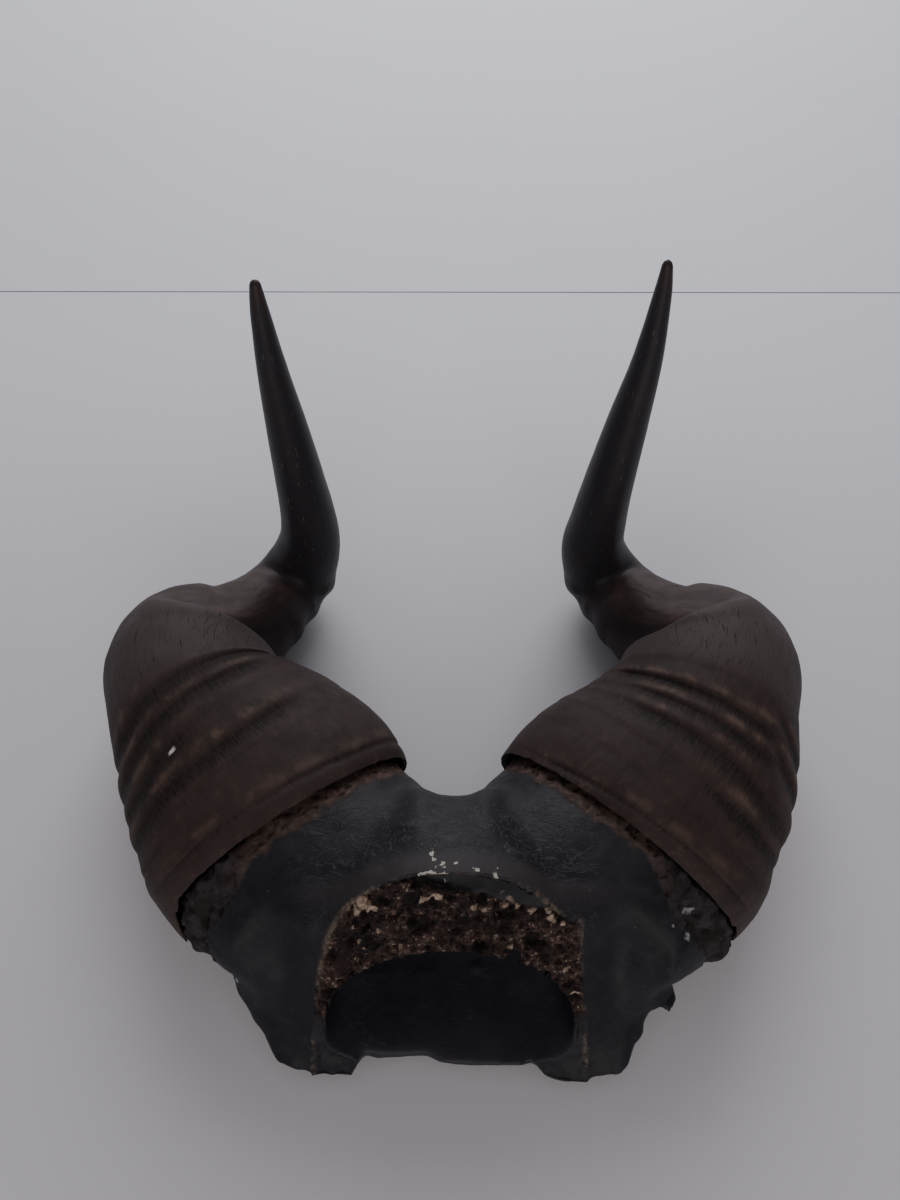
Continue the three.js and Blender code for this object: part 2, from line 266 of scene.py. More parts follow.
class Value:
    """A node's output that takes Python arithmetic; each operator adds its Math node."""

    def __init__(self, look, socket):
        self.look = look
        self.socket = socket

    def _math(self, operation, first, second):
        return self.look.node("ShaderNodeMath", {"operation": operation}, {0: first, 1: second})

    def __add__(self, other):
        return self._math("ADD", self, other)

    def __radd__(self, other):
        return self._math("ADD", other, self)

    def __sub__(self, other):
        return self._math("SUBTRACT", self, other)

    def __rsub__(self, other):
        return self._math("SUBTRACT", other, self)

    def __mul__(self, other):
        return self._math("MULTIPLY", self, other)

    def __rmul__(self, other):
        return self._math("MULTIPLY", other, self)

    def highest(self, other):
        """The larger of this value and the other."""
        return self._math("MAXIMUM", self, other)

    def rise(self, low, high):
        """0 below low, 1 above high, with a smooth rise between."""
        settings = {"interpolation_type": "SMOOTHSTEP"}
        return self.look.node("ShaderNodeMapRange", settings, {0: self, 1: low, 2: high})

    def fall(self, low, high):
        """1 below low, 0 above high."""
        return 1 - self.rise(low, high)


class Look:
    """A material in the making: its node tree and the few kinds of node it uses."""

    def __init__(self, name):
        self.material = bpy.data.materials.new(name)
        self.material.use_nodes = True
        self.tree = self.material.node_tree
        self.shader = self.tree.nodes["Principled BSDF"]

    def node(self, kind, settings=None, sockets=None, output=0):
        """Adds a node with its settings and the values or links of its sockets."""
        made = self.tree.nodes.new(kind)
        for name, value in (settings or {}).items():
            setattr(made, name, value)
        for key, value in (sockets or {}).items():
            self.join(value, made.inputs[key])
        return Value(self, made.outputs[output])

    def join(self, value, target):
        """Links a value to a socket, or sets the socket to a constant."""
        if isinstance(value, Value):
            self.tree.links.new(value.socket, target)
        else:
            target.default_value = value

    def attribute(self, name, output="Fac"):
        """A value or vector kept on the mesh."""
        return self.node("ShaderNodeAttribute", {"attribute_name": name}, output=output)

    def coordinates(self):
        """The piece's own coordinates, in metres."""
        return self.node("ShaderNodeTexCoord", output="Object")

    def stretched(self, vector, scale, offset=(0, 0, 0)):
        """A vector scaled along its axes and moved."""
        return self.node("ShaderNodeMapping", sockets={"Vector": vector, "Scale": scale, "Location": offset})

    def noise(self, vector, scale, detail=4.0, roughness=0.55, distortion=0.0):
        """Cloudy noise from 0 to 1."""
        sockets = {"Vector": vector, "Scale": scale, "Detail": detail, "Roughness": roughness}
        return self.node("ShaderNodeTexNoise", sockets=sockets | {"Distortion": distortion})

    def cells(self, vector, scale, feature="F1", randomness=1.0):
        """Distance to scattered points, or to the walls between them."""
        sockets = {"Vector": vector, "Scale": scale, "Randomness": randomness}
        return self.node("ShaderNodeTexVoronoi", {"feature": feature}, sockets)

    def absolute(self, value):
        """A value without its sign."""
        return self.node("ShaderNodeMath", {"operation": "ABSOLUTE"}, {0: value})

    def mix(self, factor, first, second, blend="MIX"):
        """Mixes two colours."""
        settings = {"data_type": "RGBA", "blend_type": blend}
        return self.node("ShaderNodeMix", settings, {0: factor, 6: first, 7: second}, output=2)

    def bump(self, height, strength, distance, normal=None):
        """A normal tilted by a height."""
        sockets = {"Height": height, "Strength": strength, "Distance": distance}
        if normal is not None:
            sockets["Normal"] = normal
        return self.node("ShaderNodeBump", sockets=sockets)

    def finish(self, **sockets):
        """Sets the shader's sockets, named with underscores for spaces."""
        for name, value in sockets.items():
            self.join(value, self.shader.inputs[name.replace("_", " ")])
        return self.material


def opaque(colour):
    """A colour with full alpha, as nodes want it."""
    return (colour[0], colour[1], colour[2], 1.0)


# ---- Settings ----


def colour_property(name, description, default):
    """A colour that a user can change."""
    return bpy.props.FloatVectorProperty(
        name=name, description=description, default=default, subtype="COLOR", min=0.0, max=1.0
    )


class HornSettings(bpy.types.PropertyGroup):
    """Sizes and colours of the sheaths."""

    lip: bpy.props.FloatProperty(
        name="Lip", description="How far the sheath thins at its rim, in mm", default=1.8, min=0.0
    )
    wall: bpy.props.FloatProperty(
        name="Wall", description="Thickness of the sheath behind its lip, in mm", default=3.8, min=1.0
    )
    groove_depth: bpy.props.FloatProperty(
        name="Groove depth", description="Depth of the growth grooves", default=1.0, subtype="FACTOR"
    )
    brown: colour_property("Brown", "Body of the ringed base", (0.036, 0.0225, 0.0200))
    # The dark colour is also used for painted shade in the grooves and inside the socket.
    dark: colour_property("Dark", "Floor of the grooves", (0.014, 0.010, 0.010))
    # The worn colour also carries a painted highlight on the crest after each groove.
    worn: colour_property("Worn", "Rubbed crests of the rings", (0.092, 0.058, 0.043))
    grey: colour_property("Grey", "Smooth bend beyond the rings", (0.060, 0.046, 0.044))
    black: colour_property("Black", "Smooth tips", (0.0190, 0.0168, 0.0198))


class BoneSettings(bpy.types.PropertyGroup):
    """Sizes and colours of the skull cap."""

    voxel: bpy.props.FloatProperty(
        name="Detail", description="Grain of the bone surface", default=0.0012, unit="LENGTH", min=0.0008
    )
    pore_depth: bpy.props.FloatProperty(
        name="Pore depth", description="Depth of the holes in the cut, in mm", default=3.2, min=0.0
    )
    paint: colour_property("Paint", "Black paint on the bone", (0.0094, 0.0084, 0.0108))
    dusty: colour_property("Dusty paint", "Worn paint on raised bone", (0.0180, 0.0163, 0.0196))
    crown: colour_property("Crown", "Rubbed paint along the crest", (0.034, 0.0293, 0.0290))
    raw: colour_property("Raw bone", "Bare bone on edges and chips", (0.40, 0.30, 0.225))
    spongy: colour_property("Spongy bone", "Brown spongy bone on the cut", (0.058, 0.036, 0.031))
    rust: colour_property("Stained bone", "Brown stain in the spongy bone", (0.16, 0.090, 0.068))
    band: colour_property("Core band", "Porous bone below the rims", (0.084, 0.055, 0.045))


class StageSettings(bpy.types.PropertyGroup):
    """Colours and light of the stage."""

    # The board colour is painted shade near the camera and the far colour is painted light behind the tips; the floor
    # blends between them.
    board: colour_property("Board", "Pale floor", (0.62, 0.60, 0.62))
    board_far_painted_light: colour_property("Board beyond", "Paler floor behind the tips", (0.76, 0.765, 0.82))
    key_power: bpy.props.FloatProperty(
        name="Key light", description="Power of the large soft light", default=26.0, unit="POWER", min=0.0
    )
    fill_power: bpy.props.FloatProperty(
        name="Fill light", description="Power of the soft light in front", default=8.5, unit="POWER", min=0.0
    )
    sky: bpy.props.FloatProperty(
        name="Sky", description="Strength of the light from all round", default=0.27, min=0.0
    )


# ---- Sheaths ----


def right_horn():
    """Sections of the right horn before it is mirrored."""
    sections = [list(section) for section in LEFT_HORN]
    sections[: len(RIGHT_BASE)] = [list(section) for section in RIGHT_BASE]
    first = len(sections) - len(RIGHT_TIP_OUT)
    for i, (out, back, up) in enumerate(zip(RIGHT_TIP_OUT, RIGHT_TIP_BACK, RIGHT_TIP_UP)):
        sections[first + i][0] -= out
        sections[first + i][1] += back
        sections[first + i][2] += up
    return sections


def horn_points(sections, place, angle, inset):
    """Points on a horn at places along it and angles round it, moved in by inset."""
    sections = np.asarray(sections, float)
    here = place + 1
    section = spline(sections, here)
    along = spline(sections[:, :3], here + 1e-3) - spline(sections[:, :3], here - 1e-3)
    along /= np.linalg.norm(along, axis=-1, keepdims=True)
    wide = section[..., 5:8]
    wide = wide - (wide * along).sum(-1, keepdims=True) * along
    wide /= np.linalg.norm(wide, axis=-1, keepdims=True)
    high = np.cross(along, wide)
    across = np.maximum(section[..., 3] - inset, 0.0) * np.cos(angle)
    up = np.maximum(section[..., 4] - inset, 0.0) * np.sin(angle)
    return section[..., :3] + across[..., None] * wide + up[..., None] * high


def groove_field(grooves, place, degrees):
    """Depth of the growth grooves at each point, the painted shade in them, and their rubbed crests with a painted
    highlight.
    """
    turned = (degrees + 100) % 360 - 100
    depth = np.zeros_like(place)
    dark = np.zeros_like(place)
    crest = np.zeros_like(place)
    for *places, half, deep, first, last in grooves:
        middle = np.interp(turned, GROOVE_ANGLES, places)
        middle = middle - (places[1] - places[0]) * np.clip((30 - turned) / 60, 0, 1.2)
        off = (place - middle) / np.where(place > middle, 0.65 * half, 1.25 * half)
        shape = np.exp(-off * off)
        strength = ramp(turned, first - 12, first + 6) * (1 - ramp(turned, last - 8, last + 14))
        strength = 0.2 + 0.8 * strength
        depth += deep * shape * strength
        dark = np.maximum(dark, shape * strength * min(1.0, deep))
        crest = np.maximum(crest, hump(place, middle + half + 0.09, 0.10) * strength * min(1.0, deep))
    return depth, dark, crest


def sheath_surface(sections, grooves, rim, settings, radial):
    """Grid of points and attributes of one sheath, from the end of its socket over the lip to the tip."""
    mean, swing, peak, dip = rim
    degrees = np.linspace(-180, 180, radial, endpoint=False)
    angle = np.radians(degrees)
    edge = mean + swing * np.cos(angle - math.radians(peak)) - dip * np.exp(-((angle / 0.35) ** 2))
    ring = np.stack([np.cos(angle), np.sin(angle), np.zeros(radial)], axis=1)
    edge += 0.02 * noise(ring * 40, 3.0, 5) + 0.012 * noise(ring * 40, 1.2, 6)
    edge += 0.08 * (noise(ring * 40, 4.0, 7) + 0.3) * np.exp(-((angle / 0.5) ** 2))
    last = len(sections) - 2
    outer = np.concatenate(
        [np.linspace(0, 4.4, 205), np.linspace(4.42, 8, 90), np.linspace(8.05, last, 105)]
    )
    inner = np.linspace(2.75, 0, 26)[:-1]
    row = np.concatenate([inner, outer])[:, None]
    inside = np.arange(len(row))[:, None] < len(inner)
    place = row + edge * np.clip(1 - row / 1.2, 0, 1)
    angles = np.broadcast_to(angle, place.shape)
    turns = np.broadcast_to(degrees, place.shape)
    depth, dark, crest = groove_field(grooves, place, turns)
    lip = settings.lip * np.clip(1 - row / 0.6, 0, 1) ** 2
    keel = 5.60 - 0.0045 * (turns - 60)
    shoulder = 8.5 * ramp(place, keel, keel + 0.45) * (1 - ramp(place, 6.2, 8.2))
    shoulder = shoulder * ramp(turns, 30, 75) * (1 - ramp(turns, 125, 165))
    crown = 1.6 * hump(place, keel - 0.1, 0.22) * ramp(turns, 35, 70) * (1 - ramp(turns, 120, 150))
    knobs = sum(1.7 * hump(place, at, 0.27) for at in (8.2, 9.05, 9.9)) - 1.2 * hump(place, 9.0, 0.9)
    knobs = knobs * hump(np.abs(turns), 165, 42)
    blunt = 2.2 * (1 - np.sqrt(1 - np.clip((place - last + 0.2) / 0.2, 0, 1) ** 2))
    inset_outer = settings.groove_depth * depth + lip + shoulder - crown - knobs + blunt
    deep = np.clip((row - 0.3) / 2.45, 0, 1)
    taper = np.sqrt(np.maximum(1 - deep**2.4, 0))
    inset = np.where(inside, settings.wall * taper + 48 * (1 - taper), inset_outer)
    inset[0] = 80
    points = horn_points(sections, place, angles, inset)
    points[-1] = points[-1].mean(0)
    points[0] = points[0].mean(0)
    flat = points.reshape(-1, 3)
    middle = spline(np.asarray(sections, float)[:, :3], row[:, 0] + 1)
    length = np.concatenate([[0], np.cumsum(np.linalg.norm(np.diff(middle, axis=0), axis=1))])
    size = spline(np.asarray(sections, float)[:, 3:5], place + 1)
    straight = np.stack(
        [size[..., 0] * np.cos(angles), size[..., 1] * np.sin(angles), np.broadcast_to(length[:, None], place.shape)],
        axis=-1,
    )
    wave = 0.35 * noise(flat, 9.0, 11) + 0.12 * noise(straight.reshape(-1, 3) * [1, 1, 0.25], 1.6, 12)
    rough = np.where(inside, 0.5, 1.0) * ramp(row, 0.02, 0.3) * (1 - 0.75 * ramp(place, 9, 12))
    centre = middle[:, None, :]
    outward = points - centre
    outward /= np.maximum(np.linalg.norm(outward, axis=-1, keepdims=True), 1e-6)
    points = points + outward * (wave.reshape(place.shape) * rough)[..., None]
    points[0] = points[0].mean(0)
    points[-1] = points[-1].mean(0)
    ahead = spline(np.asarray(sections, float)[:, :3], row[:, 0] + 1.02)
    behind = spline(np.asarray(sections, float)[:, :3], row[:, 0] + 0.98)
    heading = ahead - behind
    stride = np.linalg.norm(heading, axis=1, keepdims=True)
    heading /= stride
    turning = np.gradient(heading, axis=0) / np.maximum(np.gradient(length)[:, None], 1e-3)
    pinch = (outward * turning[:, None, :]).sum(-1) * size[..., 0]
    # groove marks the painted shade in the grooves, crest the rubbed crests with a painted highlight, inside the
    # socket painted as shade.
    fields = {
        "place": place,
        "turn": turns,
        "groove": dark,
        "crest": crest,
        "inside": inside * np.ones_like(place),
        "pinch": ramp(pinch, 0.35, 0.9) * ramp(place, 4.6, 6.0),
    }
    return points, straight, fields


def horn_look(settings):
    """Brown ringed keratin that turns grey at the bend and black at the tip."""
    look = Look("horn")
    straight = look.attribute("straight", "Vector")
    place = look.attribute("place")
    turn = look.attribute("turn")
    groove = look.attribute("groove")
    crest = look.attribute("crest")
    fibre = look.noise(look.stretched(straight, (1.3, 1.3, 0.07)), 1.0, 5.0, 0.65)
    fine = look.noise(look.stretched(straight, (3.2, 3.2, 0.28)), 1.0, 4.0, 0.6)
    cloud = look.noise(straight, 0.055, 4.0, 0.6)
    mottle = look.noise(straight, 0.22, 5.0, 0.65)
    streak = look.noise(look.stretched(straight, (0.30, 0.30, 0.10), (5, 1, 8)), 1.0, 5.0, 0.65)
    patches = look.noise(look.stretched(straight, (0.085, 0.085, 0.06), (2, 6, 3)), 1.0, 4.0, 0.6)
    pits = look.noise(look.stretched(straight, (1.5, 1.5, 0.16), (7, 3, 1)), 1.0, 3.0, 0.5).rise(0.60, 0.72)

    bend = place.rise(3.5, 4.5) * place.fall(5.3, 6.3)
    middle = place.rise(5.3, 6.3) * place.fall(8.6, 10.6)
    tip = place.rise(8.0, 10.5)
    fringe = look.noise(look.stretched(straight, (1.15, 1.15, 0.17), (4, 2, 9)), 1.0, 2.0, 0.5).rise(0.47, 0.60)
    dashes = fringe * (groove * 0.95 + cloud.rise(0.42, 0.66) * 0.14)
    deep_brown = opaque([0.72 * c for c in settings.brown])
    brown = look.mix(cloud.rise(0.35, 0.70), opaque(settings.brown), deep_brown)
    brown = look.mix(streak.rise(0.52, 0.78) * 0.30, brown, opaque(settings.worn))
    # Painted light: the lower half of the ringed base is mixed towards grey in mottled patches, so that it looks lit
    # from the front.
    low = turn.fall(5, 60) * place.fall(3.0, 4.0) * (mottle * 0.6 + 0.1)
    brown = look.mix(low, brown, opaque(settings.grey))
    brown = look.mix(fibre.rise(0.52, 0.78) * 0.40, brown, opaque(settings.dark))
    # Rubbed crests, partly wear and partly a painted highlight on the lit side of each ring.
    rubbed_and_lit_crest = (crest * patches.rise(0.42, 0.62) * mottle.rise(0.25, 0.50)) * 0.9
    brown = look.mix(rubbed_and_lit_crest, brown, opaque(settings.worn))
    # Painted shade: the grooves are darkened towards the dark colour.
    brown = look.mix((groove * (fine * 0.9 + 0.45)).rise(0.25, 0.80) * 0.48, brown, opaque(settings.dark))
    brown = look.mix(dashes * 0.75, brown, opaque([0.6 * c for c in settings.dark]))
    grey = look.mix(fibre.rise(0.45, 0.8) * 0.45, opaque(settings.grey), opaque(settings.brown))
    grey = look.mix(pits * 0.85, grey, opaque(settings.dark))
    patchy = look.mix(patches.rise(0.36, 0.62), opaque([0.85 * c for c in settings.brown]), opaque([1.5 * c for c in settings.brown]))
    patchy = look.mix(patches.rise(0.52, 0.72) * fibre.rise(0.30, 0.60) * 0.45, patchy, opaque(settings.worn))
    under = (look.absolute(turn).rise(70, 140) * (patches + 0.35)).rise(0.35, 0.85)
    patchy = look.mix(under * 0.65, patchy, opaque(settings.black))
    black = look.mix(cloud.rise(0.50, 0.72) * 0.40, opaque(settings.black), opaque(settings.brown))
    scratch = look.noise(look.stretched(straight, (1.1, 1.1, 0.16), (3, 9, 4)), 1.0, 2.0, 0.4).rise(0.71, 0.74)
    black = look.mix(streak.rise(0.50, 0.75) * 0.45, black, opaque([0.55 * c for c in settings.grey]))
    black = look.mix(scratch * 0.55, black, opaque([2.2 * c for c in settings.grey]))
    end = place.rise(15.6, 16.8)
    black = look.mix(end * 0.6, black, opaque([1.2 * c for c in settings.brown]))
    colour = look.mix(bend, brown, grey)
    colour = look.mix(middle, colour, patchy)
    colour = look.mix(tip, colour, black)
    rim = place.fall(0.35, 0.62) * turn.rise(-20, 10)
    colour = look.mix(rim * mottle.rise(0.5, 0.7) * 0.4, colour, opaque(settings.worn))
    # Painted shade: the inside of the socket, seen in the gap under the lip, is painted near-black.
    colour = look.mix(look.attribute("inside"), colour, opaque([0.5 * c for c in settings.dark]))
    colour = look.mix(look.attribute("fleck"), colour, (0.60, 0.56, 0.50, 1.0))

    gloss = 0.60 - tip * 0.18 + groove * 0.10 + (mottle - 0.5) * 0.22 - middle * 0.10
    height = fibre * 0.5 + fine * 0.35 - pits * bend * 0.9 + mottle * 0.2 - groove * fine * 0.8 - dashes * 0.4
    fading = look.bump(height, (1 - tip * 0.82) * 0.6, 0.0005)
    return look.finish(Base_Color=colour, Roughness=gloss, Normal=fading, Specular_IOR_Level=0.17)


def build_sheath(name, node, sections, grooves, rim, mirror, fleck, settings, material):
    """One sheath, in place, standing for its CAD node."""
    surface, straight, fields = sheath_surface(sections, grooves, rim, settings, 204)
    if mirror:
        surface = surface * [-1, 1, 1]
        straight = straight * [-1, 1, 1] + [0, 0, 400]
    mesh, along, across = closed_tube(name, (surface - MIDDLE) / 1000)
    store(mesh, "straight", straight[along, across], "FLOAT_VECTOR")
    for field, values in fields.items():
        store(mesh, field, values[along, across])
    spot = np.zeros(len(mesh.vertices))
    if fleck is not None:
        far_along = (fields["place"][along, across] - fleck[0]) / 0.055
        far_round = (fields["turn"][along, across] - fleck[1]) / 2.0
        wobble = 0.9 * noise(straight[along, across], 1.3, 21)
        spot = ramp(1.0 - far_along**2 - far_round**2 + wobble, 0.2, 0.7)
    store(mesh, "fleck", spot)
    close_seams(mesh)
    average = neighbour_average(mesh)
    slack = kept(mesh, "pinch")[:, None]
    for _ in range(22):
        slack = np.maximum(slack, average(slack))
    places = vertices_of(mesh)
    for _ in range(260):
        places += 0.8 * slack * (average(places) - places)
    move_vertices(mesh, places)
    mesh.materials.append(material)
    sheath = new_object(name, mesh)
    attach(sheath, "root")
    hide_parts(node)
    return sheath


class HORNS_OT_sheaths(bpy.types.Operator):
    """Build the left and the right horn sheath"""

    bl_idname = "horns.sheaths"
    bl_label = "Horn sheaths"

    def execute(self, context):
        """Makes both sheaths with one material."""
        settings = context.scene.horn_settings
        material = horn_look(settings)
        build_sheath(
            "sheath_left", "horn_sheath_left", LEFT_HORN, LEFT_GROOVES, LEFT_RIM, False, (2.5, 67), settings, material
        )
        build_sheath(
            "sheath_right", "horn_sheath_right", right_horn(), RIGHT_GROOVES, RIGHT_RIM, True, None, settings, material
        )
        return {"FINISHED"}


# ---- Skull cap ----


def remeshed_copy(node, name, voxel):
    """An even mesh over a merged copy of a CAD node."""
    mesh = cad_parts[node].data.copy()
    mesh.name = name
    shell = bmesh.new()
    shell.from_mesh(mesh)
    bmesh.ops.remove_doubles(shell, verts=shell.verts, dist=1e-6)
    shell.to_mesh(mesh)
    shell.free()
    holder = bpy.data.objects.new(name, mesh)
    bpy.context.scene.collection.objects.link(holder)
    remesh = holder.modifiers.new("Remesh", "REMESH")
    remesh.mode = "VOXEL"
    remesh.voxel_size = voxel
    bpy.context.view_layer.update()
    evaluated = holder.evaluated_get(bpy.context.evaluated_depsgraph_get())
    even = bpy.data.meshes.new_from_object(evaluated)
    bpy.data.objects.remove(holder)
    bpy.data.meshes.remove(mesh)
    even.name = name
    even.materials.clear()
    return even


def core_distance(points, mirror):
    """How far each point lies from the sheath's rim towards the skull, in mm along the core."""
    side = points * ([-1, 1, 1] if mirror else [1, 1, 1])
    sections = np.asarray(right_horn() if mirror else LEFT_HORN, float)
    mean, swing, peak, dip = RIGHT_RIM if mirror else LEFT_RIM
    centre, ahead = sections[1, :3], sections[2, :3]
    step = np.linalg.norm(ahead - centre)
    along = (ahead - centre) / step
    wide = sections[1, 5:8] - (sections[1, 5:8] @ along) * along
    wide /= np.linalg.norm(wide)
    high = np.cross(along, wide)
    from_centre = side - centre
    angle = np.arctan2((from_centre @ high) / sections[1, 4], (from_centre @ wide) / sections[1, 3])
    rim = mean + swing * np.cos(angle - math.radians(peak)) - dip * np.exp(-((angle / 0.35) ** 2))
    below = rim * step - from_centre @ along
    return np.where(side[:, 0] < 0, below, 1e3)


def spots(points, places, ragged=0.0, height=1.0):
    """1 on each of a list of spots, given as centre and radius, falling off around them."""
    mask = np.zeros(len(points))
    edge = 1 + ragged * (noise(points, 2.6, 61) + 0.5 * noise(points, 1.3, 62))
    for *centre, radius in places:
        away = np.linalg.norm((points - centre) * [1, 1, height], axis=1) * edge
        mask = np.maximum(mask, ramp(away, 1.25 * radius, 0.55 * radius))
    return mask


def skull_fields(points, normals, average):
    """Where each kind of bone surface lies: cut face, cavity, core band, chips, edges and crust."""
    x, y, z = points.T
    over_cut = (points - CUT_FOOT) @ CUT_OUT
    up = (points - CUT_FOOT) @ CUT_UP / np.linalg.norm(CREST - CUT_FOOT)
    facing = normals @ CUT_OUT
    past = np.where(x < 0, -x - np.interp(up, *LEFT_OUTLINE), x - np.interp(up, *RIGHT_OUTLINE))
    flat = ramp(over_cut, -1.8, -0.5) * ramp(facing, 0.55, 0.8) * ramp(np.abs(x), 66, 62)
    cut = flat * ramp(past, 1.0, -0.6)
    gap = np.minimum(core_distance(points, False), core_distance(points, True))
    outer_end = ramp(np.abs(x), 78, 92)
    ragged = 1.8 * noise(points, 4.5, 31) + 1.3 * noise(points, 1.9, 32)
    reach = np.where(x < 0, 7.5 + 10.0 * outer_end, 5.5 + 11.0 * outer_end)
    band = ramp(gap + ragged, reach + 1.5, reach - 1.5) * (1 - cut)
    within = ramp(-over_cut, 0.5, 2.0) * ramp(np.abs(x), 55, 52) * ramp(z, 72, 68)
    middle = np.stack([np.zeros_like(y), np.clip(y, 20, 100), np.full_like(z, 28)], axis=1)
    inward = (normals * (middle - points)).sum(1)
    hollow = within * ramp(inward, 0, 6)
    outline = average(average(average(cut[:, None])))[:, 0]
    rim_line = ramp(4 * outline * (1 - outline), 0.45, 0.85)
    outer_line = rim_line * ramp(up, 0.80, 0.86) * 0.7
    outer_line = np.maximum(outer_line, ramp(over_cut, -3, -1) * hump(past, 0.4, 0.9) * ramp(up, 0.84, 0.78))
    crown = ramp(-over_cut, 0.5, 2) * ramp(-over_cut, 15, 9) * ramp(up, 0.78, 0.9) * (1 - cut) * (1 - hollow)
    worms = ramp(z, 70, 84) * ramp(np.abs(x), 66, 50) * (1 - band) * (1 - crown)
    return {
        "cut": cut,
        "shaved": flat * ramp(past, -0.6, 5.0),
        "band": band,
        "hollow": hollow,
        "outer_line": outer_line,
        "crown": crown,
        "worms": worms,
        "outer_end": outer_end,
        "gap": gap,
        "up": up,
        "past": past,
    }


def sculpt_bone(mesh, settings):
    """Softens the joints of the bone, opens its pores and frays its broken edges."""
    average = neighbour_average(mesh)
    points = vertices_of(mesh) * 1000 + MIDDLE
    x, y, z = points.T
    over_cut = (points - CUT_FOOT) @ CUT_OUT
    on_cut = over_cut > -0.9
    sharp = np.maximum(hump(x, 92, 6) * hump(y, 56, 7) * ramp(z, 24, 22), hump(x, 78, 7) * hump(y, 39, 9) * ramp(z, 17, 15))
    loose = ramp(-over_cut, 0.4, 5.0) * (1 - ramp(sharp, 0.2, 0.5)) * (0.08 + 0.92 * ramp(z, 6, 24))
    loose = loose[:, None]
    for _ in range(46):
        points = points + 0.6 * loose * (average(points) - points)
    temple = hump(np.abs(x), 78, 17) * hump(y, 52, 24) * ramp(z, 14, 26) * ramp(-over_cut, 1, 6)
    valley = hump(np.abs(x - 1.5), 19, 9) * ramp(y, 92, 99) * ramp(y, 140, 125) * ramp(z, 60, 72)
    soft = np.minimum(1.0, 1.6 * np.maximum(temple, valley)) * (1 - ramp(sharp, 0.05, 0.25))
    soft = soft[:, None]
    for _ in range(110):
        points = points + 0.6 * soft * (average(points) - points)
    for _ in range(2):
        points = points + 0.35 * (average(points) - points)
    points[on_cut] -= ((points[on_cut] - CUT_FOOT) @ CUT_OUT)[:, None] * CUT_OUT
    foot = (ramp(z, 8, 4) * ramp(y, 50, 36))[:, None]
    for _ in range(5):
        points = points + 0.6 * foot * (average(points) - points)
    move_vertices(mesh, (points - MIDDLE) / 1000)
    normals = normals_of(mesh)
    fields = skull_fields(points, normals, average)
    cut, band, hollow, up = fields["cut"], fields["band"], fields["hollow"], fields["up"]
    x, y, z = points.T

    fields["crust"] = spots(points, CRUST, 0.4, 0.7)
    run = CREST - CUT_FOOT
    compact_from = 0.955 - 0.0023 * (x + 8)
    compact = ramp(up, compact_from - 0.012, compact_from + 0.012) * ramp(x, -23, -17)
    spongy = cut * (1 - compact) * ramp(up + 0.03 * noise(points, 4, 40), 0.25, 0.36)
    pores = ramp(noise(points, 2.5, 41) + 0.7 * noise(points, 1.5, 42), 0.0, 0.8)
    caves = ramp(noise(points, 6.5, 43) + 0.25 * noise(points, 2, 39), 0.42, 0.7)
    chamfer = 5.0 * cut * compact * ramp(up, 0.86, 1.0)
    sinuses = spots(points, [(x_, *(CUT_FOOT + up_ * run)[1:] - 2 * CUT_OUT[1:], r) for x_, up_, r in SINUSES])
    dent = spongy * (0.8 * settings.pore_depth * pores + 0.9 * settings.pore_depth * caves) + chamfer
    dent += cut * (1 - spongy) * (1 - compact) * (1.2 + 0.8 * noise(points, 4, 38))
    pitted = ramp(noise(points, 2.2, 44) + 0.6 * noise(points, 1.3, 45), 0.2, 0.8)
    crusty = band * fields["outer_end"]
    lumps = noise(points, 3.4, 36)
    flush = ramp(fields["gap"], -3, 1) * ramp(fields["gap"], 13, 6)
    dent -= np.where(x < 0, 3.6, 3.0) * fields["outer_end"] * flush * (1 - cut)
    dent += band * (1.1 * pitted - 0.5 * lumps) + crusty * (1.2 + 1.6 * noise(points, 4.5, 37)) * np.where(x > 0, 1, 0.5)
    dent += crusty * 0.7 * noise(points, 1.9, 35)
    skin = (1 - cut) * (1 - band) * (1 - hollow)
    dent += skin * (0.4 * noise(points, 8.0, 46) + 0.12 * noise(points, 2.6, 47))
    temple = hump(np.abs(x), 70, 8) * hump(y, 62, 18) * ramp(z, 20, 30)
    dent += 2.6 * temple * skin + 2.6 * fields["shaved"]
    dent += hollow * (0.35 * noise(points, 15.0, 48) + 0.10 * noise(points, 3.5, 49))
    dent -= 0.8 * hollow * spots(points, [(12, 71, 12, 3.0)])
    grooves = hump(x, -0.5, 0.8) + 0.6 * hump(x, 2.4, 0.7)
    dent += 0.8 * hollow * grooves * hump(y, 51, 8)
    holes = spots(points, [(-98, 93, 47, 2.6), (101, 93, 45, 2.2), (99, 79, 38, 2.2), (82, 80, 48, 1.8)])
    dent += 2.0 * holes * (1 - cut)
    standing = ramp(-normals[:, 2], 0.2, 0.6) * ramp(z, 6, 3)
    dent *= (1 - standing) * (1 - 0.8 * ramp(z, 5, 1) * cut)
    points = points - normals * dent[:, None]

